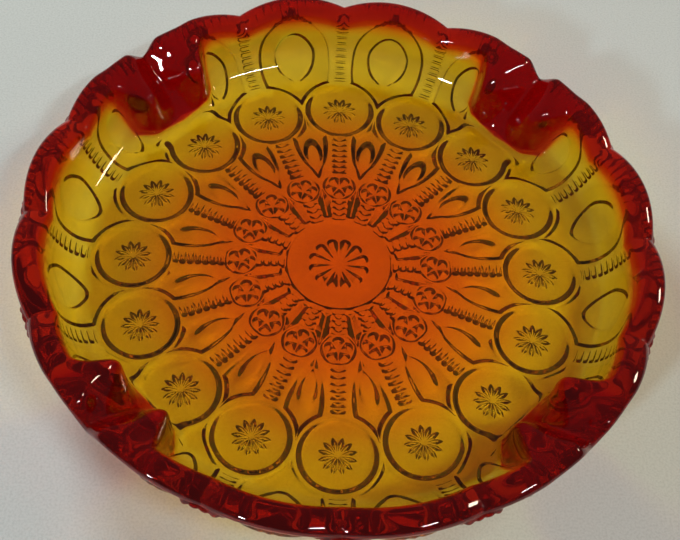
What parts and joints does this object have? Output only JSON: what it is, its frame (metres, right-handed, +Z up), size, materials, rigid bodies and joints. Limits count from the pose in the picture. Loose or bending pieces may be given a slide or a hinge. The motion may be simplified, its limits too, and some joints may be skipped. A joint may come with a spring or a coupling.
{
  "type": "pressed glass candy dish",
  "caption": "Low round pressed-glass dish with a thick scalloped rim pressed inward at its crimps, ovals moulded on the wall, and a star-cut boss ring under the floor.",
  "frame": {"origin": "on the surface the dish stands on, under the middle of the floor", "axes": "+Z up through the middle of the dish; +X over the middle of one boss, midway between two crimps"},
  "size_m": [0.201, 0.2009, 0.0296],
  "materials": {
    "amber_glass": "clear amber pressed glass, fire-polished, yellow in the wall and orange in the floor",
    "ruby_glass": "clear ruby glass where the same piece was struck by reheating, fire-polished"
  },
  "bodies": {
    "root": {"floor": "amber_glass", "wall": "amber_glass", "rim": "ruby_glass"}
  },
  "joints": []
}
